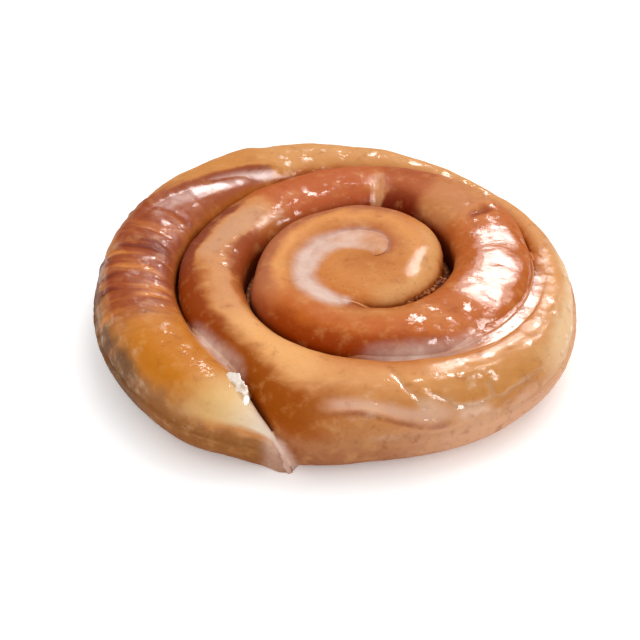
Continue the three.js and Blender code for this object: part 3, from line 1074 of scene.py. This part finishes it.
def dripTree(material, under):
    net, size, grid, along, around = sheetTree("icingFlap", {**coil, **drip})
    angle = around * math.tau
    place = (1 - angle.cos()) * 0.5
    across = between(size, "across", along)
    jagged = (net.noise(net.xyz(along, 0.0, 0.0), 8.0, 4.0, 0.7) - 0.5) * size["ragged"]
    left = size["leftTurn"] + size["lean"] * along + jagged
    turn = net.mix(place, left, size["rightTurn"])
    height = outlineAt(net, size, sectionAt(net, size, turn), across)[1]

    # it lies on what a ray towards the pole meets, smoothed over
    start = 90 * mm
    lowestRay = 0.3 * mm
    facing = bearing(turn)
    ray = {
        "Target Geometry": net.wire("GeometryNodeObjectInfo", {}, {"Object": under}, "Geometry"),
        "Source Position": placed(net, turn, start, height.most(lowestRay)),
        "Ray Direction": net.xyz(-facing.cos(), -facing.sin(), 0.0),
    }
    hit = start - net.wire("GeometryNodeRaycast", {}, ray, "Hit Distance")
    hit = net.wire("GeometryNodeBlurAttribute", {"data_type": "FLOAT"}, {"Value": hit, "Iterations": 12})
    share = (turn - left) / size["whiteTurns"]
    marks = {name: net.wire("GeometryNodeRaycast", {}, {**ray, "Attribute": net.attribute(name)}, "Attribute")
             for name in ("along", "across")}
    marks["film"] = net.rise(share, 1.5, 0.2) * net.rise(along, 0.0, 0.25) * 0.8
    skin = size["thickness"] * net.rise(share, 2.0, 0.3) * net.rise(along, 0.0, 0.2)
    buried = 0.25 * mm
    skin = skin - buried * (1 - net.rise(share, 2.2, 0.8) * net.rise(along, 0.0, 0.15))
    inside = net.rise(angle.sin(), 0.02, -0.02)
    lift = net.mix(inside, skin, angle.sin() * size["sink"])
    offFloor = 0.05 * mm
    moved = placed(net, turn, hit + lift, height.most(offFloor))
    net.finish(closed(net, grid, marks, moved), material)
    return net.tree


flap = grow("icingDrip", dripTree(glazedDough, dough), {**coil, **drip})
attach(flap, "root")

# A crust of dried icing, broken into flakes, on the inner edge of the tail
flakes = {
    "rows": 150,
    "columns": 50,
    "flakeFrom": 2.39,
    "flakeTo": 2.416,
    "middleFrom": 1.6,
    "middleTo": 1.85,
    "halfWidth": 2.5 * mm,
    "rise": 0.25 * mm,
    "broken": 0.3 * mm,
    "crumpled": 0.4 * mm,
}


def flakesTree(material):
    net, size, grid, along, around = sheetTree("icingFlakes", {**coil, **flakes})
    angle = around * math.tau
    turn = between(size, "flake", along)
    middle = between(size, "middle", along)
    radius, height = outlineAt(net, size, sectionAt(net, size, turn), middle)
    ends = (1 - (along * 2 - 1) ** 2).most(0.0).sqrt()
    ragged = 0.45 + 1.1 * net.noise(net.xyz(along, 0.0, 0.0), 5.0, 2.0)
    beside = size["halfWidth"] * angle.cos() * ends * ragged
    moved = placed(net, turn, radius + beside, height - beside * 0.3 + size["rise"] * angle.sin() * ends)
    shape = roughened(net, size, closed(net, grid, {"along": turn, "across": middle}, moved))
    shards = net.wire("ShaderNodeTexVoronoi", {"feature": "F1"}, {"Scale": 230.0})
    uneven = net.noise(net.wire("GeometryNodeInputPosition"), 700.0) - 0.5
    knobs = (shards - 0.35) * size["broken"] + uneven * size["crumpled"]
    net.finish(net.pushed(shape, knobs), material)
    return net.tree


dryIcing = {"thin": (0.90, 0.75, 0.60), "thick": (0.97, 0.93, 0.88), "clear": 0.12, "cover": 0.6}


def flakeMaterial():
    material, net, shader = newMaterial("dryIcing")
    place = net.wire("ShaderNodeTexCoord", {}, {}, "Object")
    shards = net.wire("ShaderNodeTexVoronoi", {"feature": "F1"}, {"Vector": place, "Scale": 330.0})
    cloud = net.rise(net.noise(place, 700.0, 3.0) * 0.5 + shards * 0.8, 0.4, 0.75)
    net.feed(shader, {
        "Base Color": net.blend(cloud, colour(*dryIcing["thin"]), colour(*dryIcing["thick"])),
        "Roughness": 0.2 + cloud * 0.2,
        "Alpha": dryIcing["clear"] + cloud * dryIcing["cover"],
        "Coat Weight": 0.5,
        "Coat Roughness": 0.15,
        "Normal": net.bump(net.noise(place, 900.0, 2.0), 0.4, 0.3 * mm),
    })
    return material


chips = grow("icingFlakes", flakesTree(flakeMaterial()), {**coil, **flakes})
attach(chips, "root")


# Camera, light and floor
view = {
    "elevation": 37.0,
    "distance": 700 * mm,
    "aim": Vector((0.268, -12.446, 10.0)) * mm,
    "slide": Vector((-3.81, 1.19)) * mm,
    "lens": 165.4,
    "sensor": 36.0,
    "farthest": 20.0,
}
studio = {
    "ambient": 0.92,
    "floor": (0.95, 0.95, 0.95, 1),
    "floorGlow": 0.22,
    "floorHalf": 4.0,
}

# Each light's place, size and power; those for shine show in highlights alone, the key light never does
lights = {
    "keyLight": {"place": (0.35, 0.5, 0.9), "size": (0.8, 0.8), "power": 4.5, "shine": False},
    "shinePanel": {"place": (0.2, 0.71, 0.67), "size": (0.42, 0.32), "power": 9.5, "shine": True},
    "shineHalo": {"place": (0.2, 0.71, 0.67), "size": (0.8, 0.64), "power": 7.0, "shine": True},
    "shineOver": {"place": (0.4, -0.12, 0.87), "size": (0.7, 0.5), "power": 18.0, "shine": True},
}


def addCamera():
    data = bpy.data.cameras.new("camera")
    data.lens = view["lens"]
    data.sensor_width = view["sensor"]
    data.clip_end = view["farthest"]
    camera = bpy.data.objects.new("camera", data)
    bpy.context.scene.collection.objects.link(camera)
    tilt = math.radians(view["elevation"])
    back = Vector((0, -math.cos(tilt), math.sin(tilt)))
    up = Vector((0, math.sin(tilt), math.cos(tilt)))
    slide = Vector((view["slide"].x, 0, 0)) + up * view["slide"].y
    camera.location = view["aim"] + back * view["distance"] + slide
    camera.rotation_euler = (math.pi / 2 - tilt, 0, 0)
    bpy.context.scene.camera = camera


def addFloor():
    work = bmesh.new()
    bmesh.ops.create_grid(work, x_segments=1, y_segments=1, size=studio["floorHalf"])
    mesh = bpy.data.meshes.new("floor")
    work.to_mesh(mesh)
    work.free()
    floor = bpy.data.objects.new("floor", mesh)
    bpy.context.scene.collection.objects.link(floor)
    material, net, shader = newMaterial("paleFloor")
    net.feed(shader, {"Base Color": studio["floor"], "Roughness": 0.9, "Specular IOR Level": 0.0})
    net.feed(shader, {"Emission Color": (1, 1, 1, 1), "Emission Strength": studio["floorGlow"]})
    mesh.materials.append(material)


def addLight(name, one):
    data = bpy.data.lights.new(name, "AREA")
    data.shape = "RECTANGLE"
    data.size, data.size_y = one["size"]
    data.energy = one["power"]
    light = bpy.data.objects.new(name, data)
    light.location = one["place"]
    light.rotation_euler = (-Vector(one["place"])).to_track_quat("-Z", "Y").to_euler()
    light.visible_glossy = one["shine"]
    light.visible_diffuse = not one["shine"]
    bpy.context.scene.collection.objects.link(light)


def addStudio():
    world = bpy.data.worlds.new("studio")
    world.use_nodes = True
    background = world.node_tree.nodes["Background"]
    background.inputs["Color"].default_value = (1, 1, 1, 1)
    background.inputs["Strength"].default_value = studio["ambient"]
    bpy.context.scene.world = world
    world.cycles_visibility.glossy = False
    for name, one in lights.items():
        addLight(name, one)
    bpy.context.scene.view_settings.view_transform = "Standard"


addCamera()
addFloor()
addStudio()
print("camera, floor and lights stand")
